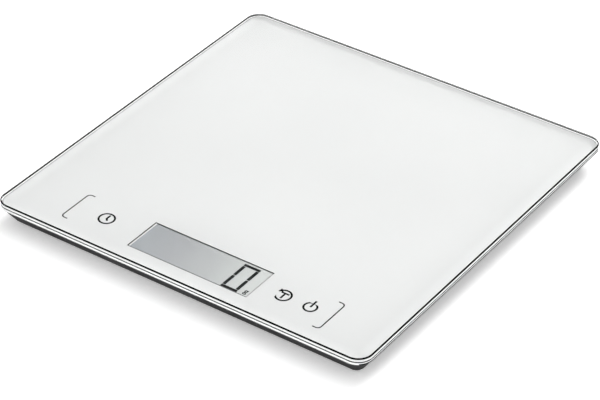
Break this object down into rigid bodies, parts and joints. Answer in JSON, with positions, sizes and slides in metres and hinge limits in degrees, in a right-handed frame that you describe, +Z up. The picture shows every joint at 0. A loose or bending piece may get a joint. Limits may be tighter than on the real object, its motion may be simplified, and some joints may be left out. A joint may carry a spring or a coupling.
{
  "type": "kitchen scale",
  "caption": "Slim square kitchen scale: bevelled glass plate with a printed display window and touch marks on a shallow black housing with load cell feet.",
  "frame": {"origin": "on the surface that the scale stands on, under the middle of the glass plate", "axes": "+Z up, +X to the right and -Y to the front, where the display and touch marks are"},
  "size_m": [0.275, 0.275, 0.018],
  "materials": {
    "clear_glass": "polished toughened glass with bevelled, ground edges",
    "white_print": "opaque white screen print, seen through the glass",
    "tape": "black foam tape",
    "black_housing": "black moulded plastic with a fine grain",
    "black_trim": "black moulded plastic, satin",
    "foot_rubber": "soft matte rubber",
    "cell_steel": "stamped, brushed steel",
    "silicone": "white silicone over the gauge",
    "white_plastic": "white moulded plastic",
    "display_glass": "liquid crystal display with a polariser",
    "reflector_film": "satin reflecting film",
    "contact_rubber": "layered conducting silicone",
    "board_laminate": "green solder mask over glass fibre",
    "chip_epoxy": "black moulded epoxy",
    "bright_metal": "tinned or nickel-plated steel",
    "buzzer_brass": "thin brass disc",
    "coin_steel": "nickel-plated steel can",
    "grey_sleeve": "grey sleeve over the cores",
    "red_sleeve": "red wire insulation",
    "black_sleeve": "black wire insulation",
    "label_film": "blank silver-white film label"
  },
  "bodies": {
    "scale": {"glass_plate": "clear_glass", "plate_print": "white_print", "tape_frame": "tape", "housing": "black_housing", "strain_gauges": "silicone", "display_panel": "display_glass", "display_reflector": "reflector_film", "contact_strip_front": "contact_rubber", "contact_strip_rear": "contact_rubber", "display_frame": "white_plastic", "main_board": "board_laminate", "controller_chip": "chip_epoxy", "quartz_crystal": "bright_metal", "unit_switch": "chip_epoxy", "touch_spring_timer": "bright_metal", "touch_spring_tare": "bright_metal", "touch_spring_power": "bright_metal", "buzzer_disc": "buzzer_brass", "buzzer_leads": "black_sleeve", "coin_cell_left": "coin_steel", "coin_cell_right": "coin_steel", "battery_contact_negative": "bright_metal", "battery_contact_bridge": "bright_metal", "battery_contact_positive": "bright_metal", "battery_lead_black": "black_sleeve", "battery_lead_red": "red_sleeve", "holder_screws": "bright_metal", "board_screws": "bright_metal", "blank_label": "label_film", "foot_front_left": "black_trim", "foot_pad_front_left": "foot_rubber", "load_cell_front_left": "cell_steel", "cell_holder_front_left": "white_plastic", "cell_cable_front_left": "grey_sleeve", "foot_front_right": "black_trim", "foot_pad_front_right": "foot_rubber", "load_cell_front_right": "cell_steel", "cell_holder_front_right": "white_plastic", "cell_cable_front_right": "grey_sleeve", "foot_rear_left": "black_trim", "foot_pad_rear_left": "foot_rubber", "load_cell_rear_left": "cell_steel", "cell_holder_rear_left": "white_plastic", "cell_cable_rear_left": "grey_sleeve", "foot_rear_right": "black_trim", "foot_pad_rear_right": "foot_rubber", "load_cell_rear_right": "cell_steel", "cell_holder_rear_right": "white_plastic", "cell_cable_rear_right": "grey_sleeve"},
    "battery_door": {"battery_door": "black_trim"},
    "unit_button": {"unit_button": "black_trim"}
  },
  "joints": [
    {"name": "battery_door_hinge", "type": "hinge", "parent": "scale", "child": "battery_door", "pos_m": [0, 0.043, 0.0018], "axis": [1, 0, 0], "range_deg": [0, 80]},
    {"name": "unit_button_press", "type": "slide", "parent": "scale", "child": "unit_button", "axis": [0, 0, 1], "range_m": [0, 0.0005], "stiffness_N_per_m": 400}
  ]
}
